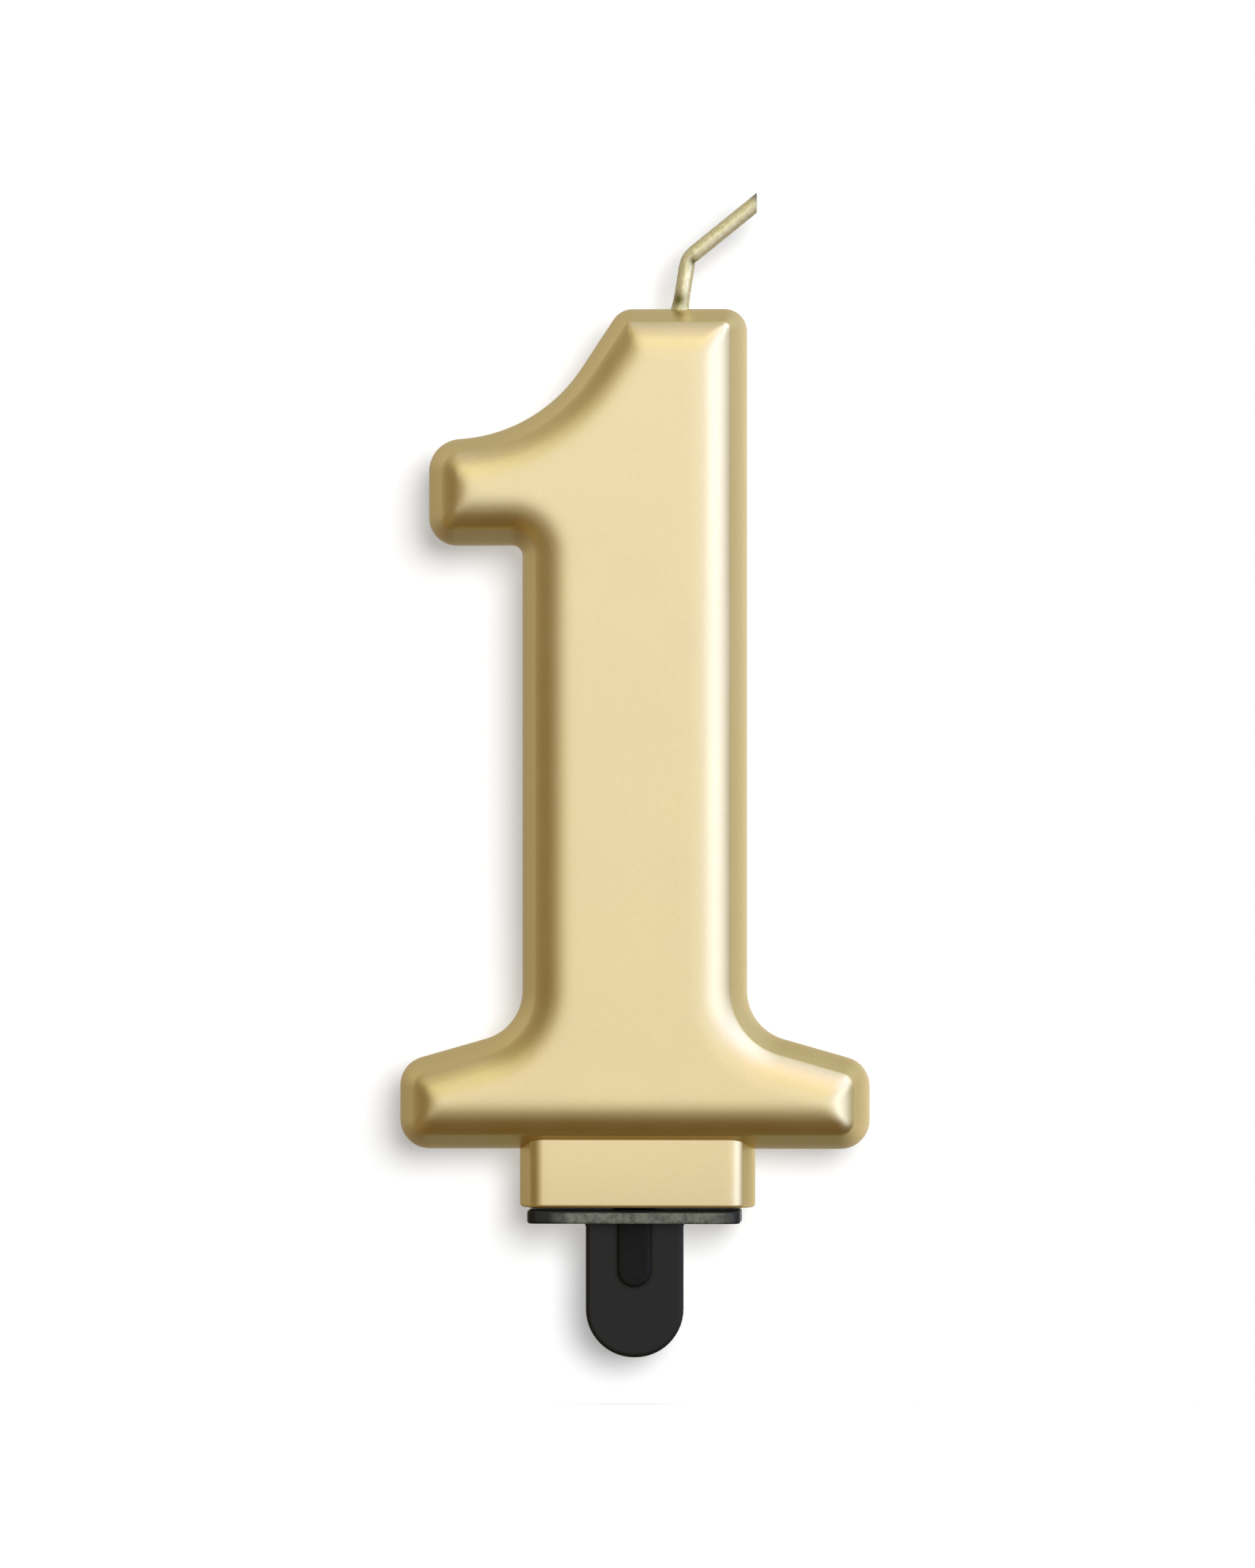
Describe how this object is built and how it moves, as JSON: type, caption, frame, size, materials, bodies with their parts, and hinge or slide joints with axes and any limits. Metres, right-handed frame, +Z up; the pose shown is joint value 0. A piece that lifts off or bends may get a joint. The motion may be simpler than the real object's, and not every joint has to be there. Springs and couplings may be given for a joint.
{
  "type": "number candle",
  "caption": "Gold-coated wax numeral 1 cake candle on a small plinth, with a kinked gold wick and a black plastic cake pick.",
  "frame": {"origin": "centre of the underside of the pick's flange, the face that rests on the icing", "axes": "+Z up along the numeral's stem, +X to the right seen from the front, the front face looks towards -Y"},
  "size_m": [0.042, 0.012, 0.1039],
  "materials": {
    "wax": "cream paraffin wax, cast, slightly translucent",
    "gold_lacquer": "pale gold metallic lacquer over a wax dip, satin gloss with a fine ripple",
    "gold_cotton": "braided cotton wick, waxed and sprayed with the same gold",
    "black_plastic": "injection moulded black polystyrene, satin, with a faint smear of gold and wax on the flange's edge"
  },
  "bodies": {
    "root": {"wax_core": "wax", "gold_coat": "gold_lacquer", "wick": "gold_cotton", "pick": "black_plastic"}
  },
  "joints": []
}
